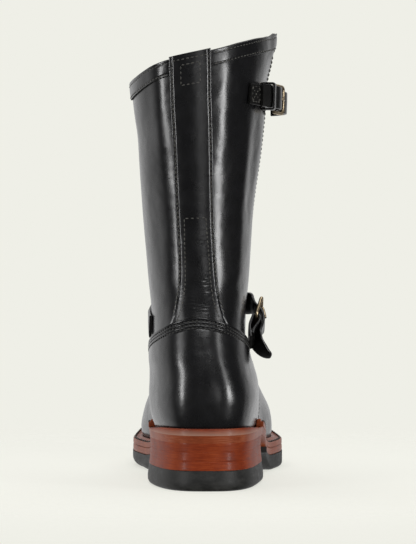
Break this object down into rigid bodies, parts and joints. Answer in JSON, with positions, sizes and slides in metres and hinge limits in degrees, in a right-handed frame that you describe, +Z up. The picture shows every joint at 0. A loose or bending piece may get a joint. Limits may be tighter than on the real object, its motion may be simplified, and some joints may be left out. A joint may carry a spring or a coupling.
{
  "type": "engineer boot",
  "caption": "Pull-on work boot with a rounded toe, stacked heel, rubber sole, ankle strap and a buckled strap at a slit collar.",
  "frame": {"origin": "middle of the heel's base, on the floor", "axes": "+Y towards the toe, +X towards the outer side of the right foot, +Z up"},
  "size_m": [0.1072, 0.2995, 0.3018],
  "materials": {
    "upper": "smooth semi-gloss",
    "vamp": "smooth semi-gloss",
    "counter": "smooth semi-gloss",
    "back_stay": "smooth semi-gloss",
    "collar_band_rear": "smooth semi-gloss",
    "collar_band_front": "smooth semi-gloss",
    "gusset": "soft, satin",
    "pull_loop": "satin",
    "insole": "matte",
    "midsole": "burnished edge",
    "welt": "burnished edge",
    "heel_rand": "burnished edge",
    "heel_lift_1": "burnished edge",
    "heel_lift_2": "burnished edge",
    "heel_lift_3": "burnished edge",
    "half_sole": "matte",
    "heel_rubber": "matte",
    "ankle_strap": "satin",
    "ankle_tab": "satin",
    "ankle_buckle": "satin roller",
    "ankle_buckle_prong": "satin",
    "collar_strap": "satin",
    "collar_tab": "satin",
    "collar_keeper": "satin",
    "collar_buckle": "satin roller",
    "collar_buckle_prong": "satin"
  },
  "bodies": {
    "root": {"upper": "upper", "vamp": "vamp", "counter": "counter", "back_stay": "back_stay", "collar_band_rear": "collar_band_rear", "collar_band_front": "collar_band_front", "gusset": "gusset", "pull_loop": "pull_loop", "insole": "insole", "midsole": "midsole", "welt": "welt", "heel_rand": "heel_rand", "heel_lift_1": "heel_lift_1", "heel_lift_2": "heel_lift_2", "heel_lift_3": "heel_lift_3", "half_sole": "half_sole", "heel_rubber": "heel_rubber", "ankle_strap": "ankle_strap", "ankle_tab": "ankle_tab", "ankle_buckle": "ankle_buckle", "ankle_buckle_prong": "ankle_buckle_prong", "collar_strap": "collar_strap", "collar_tab": "collar_tab", "collar_keeper": "collar_keeper", "collar_buckle": "collar_buckle", "collar_buckle_prong": "collar_buckle_prong"}
  },
  "joints": []
}
